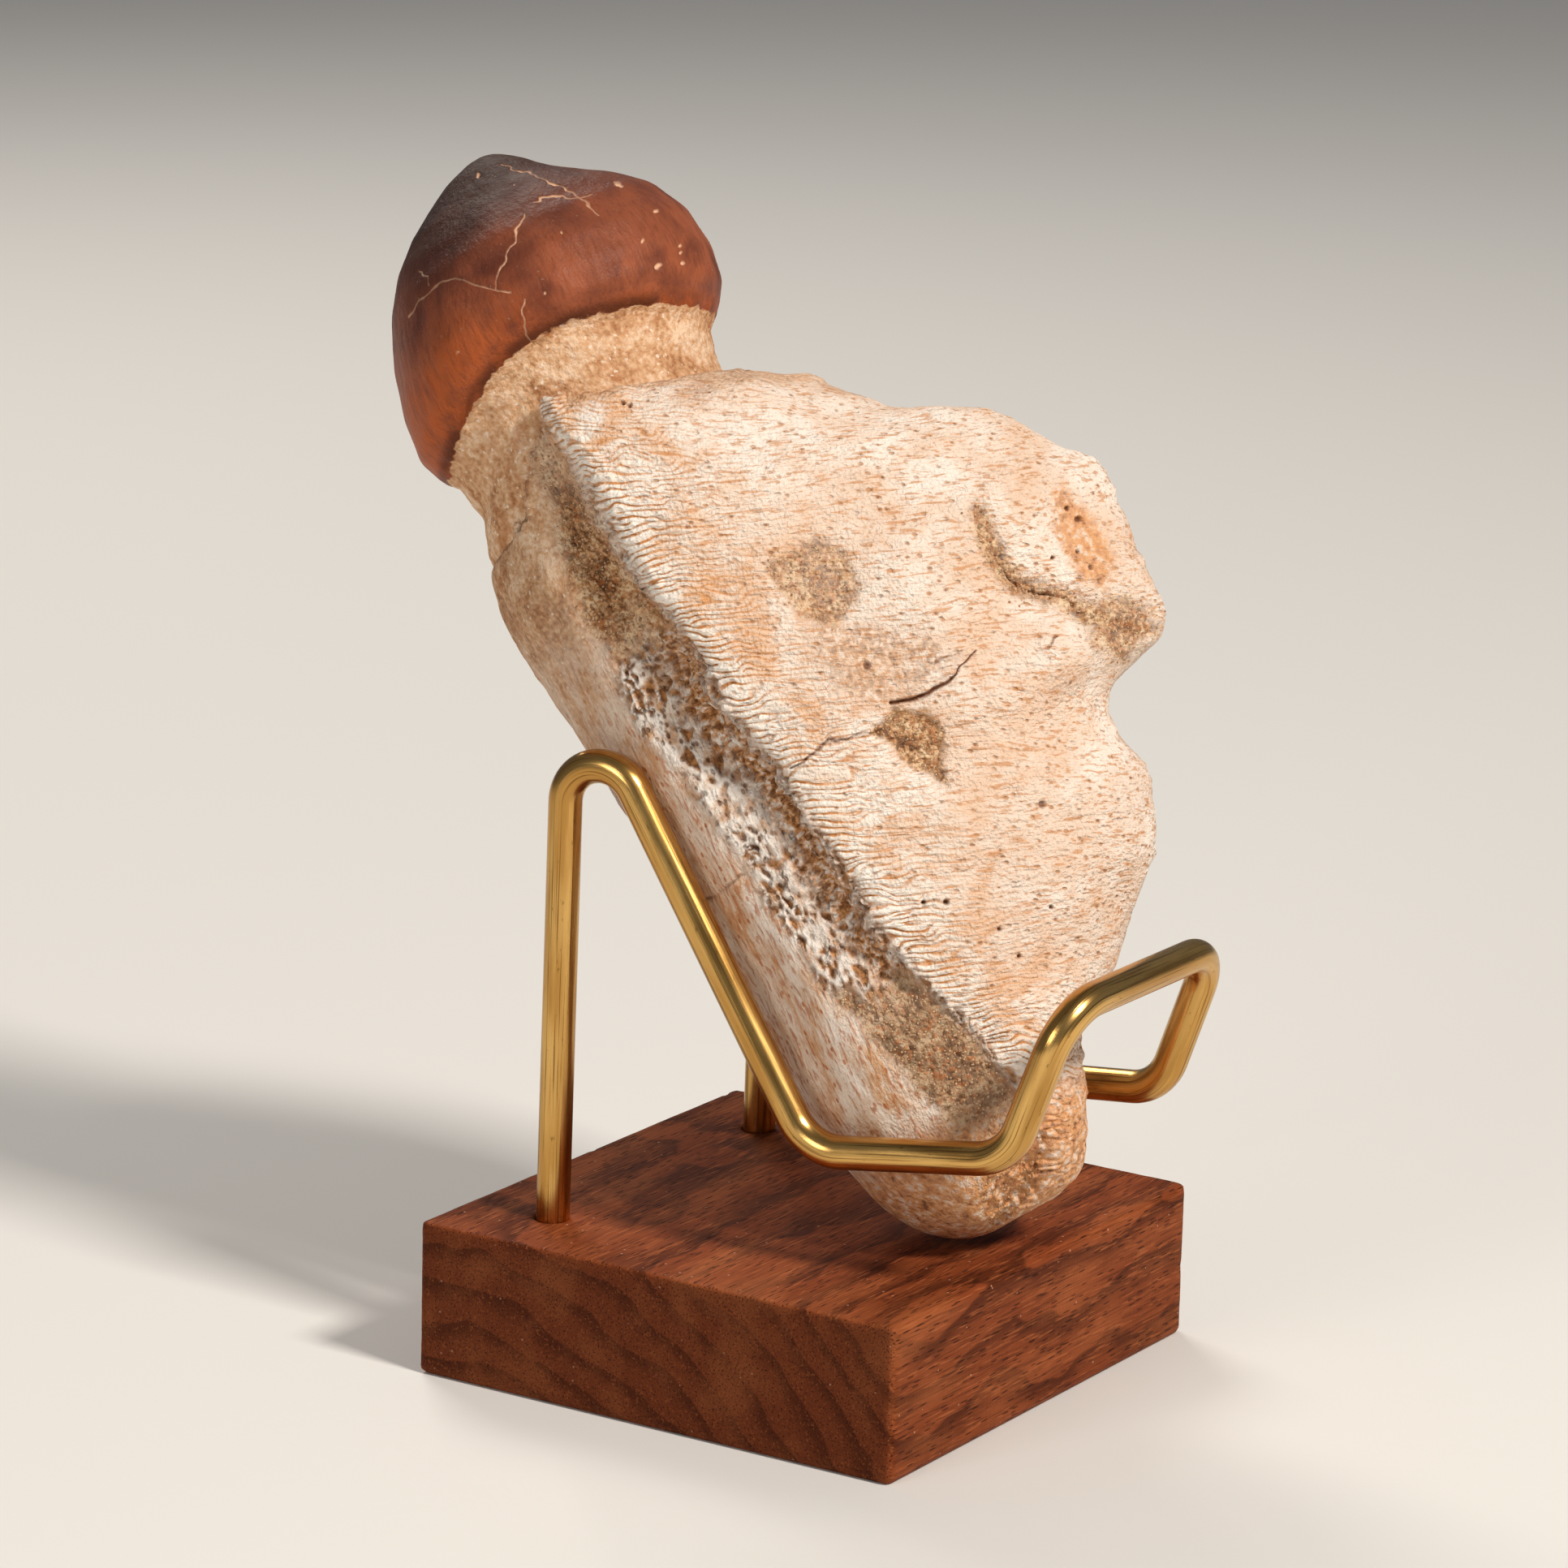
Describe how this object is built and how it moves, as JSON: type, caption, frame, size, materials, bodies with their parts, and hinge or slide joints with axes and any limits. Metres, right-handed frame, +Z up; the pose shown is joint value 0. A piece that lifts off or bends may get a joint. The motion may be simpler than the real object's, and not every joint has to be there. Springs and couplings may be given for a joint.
{
  "type": "fossil mosasaur jaw on stand",
  "caption": "Leaning fossil jaw fragment with a rounded crushing tooth, held in a bent brass rod stand on a square walnut block.",
  "frame": {"origin": "middle of the walnut block's underside, on the surface that the stand rests on", "axes": "+Z up, -Y towards the front, where the rod's lip is, +X to the right seen from the front"},
  "size_m": [0.051, 0.0773, 0.1053],
  "materials": {
    "bone": "matte fossil bone, cream with orange-brown stains, ridges and pores",
    "tooth": "satin red-brown enamel crown, dark at the tip, on a matte tan root",
    "brass": "satin brass with fine scratches",
    "walnut": "sanded open-grain walnut, low sheen"
  },
  "bodies": {
    "root": {"jaw_bone": "bone", "tooth": "tooth", "brass_rod_stand": "brass", "walnut_block": "walnut"}
  },
  "joints": []
}
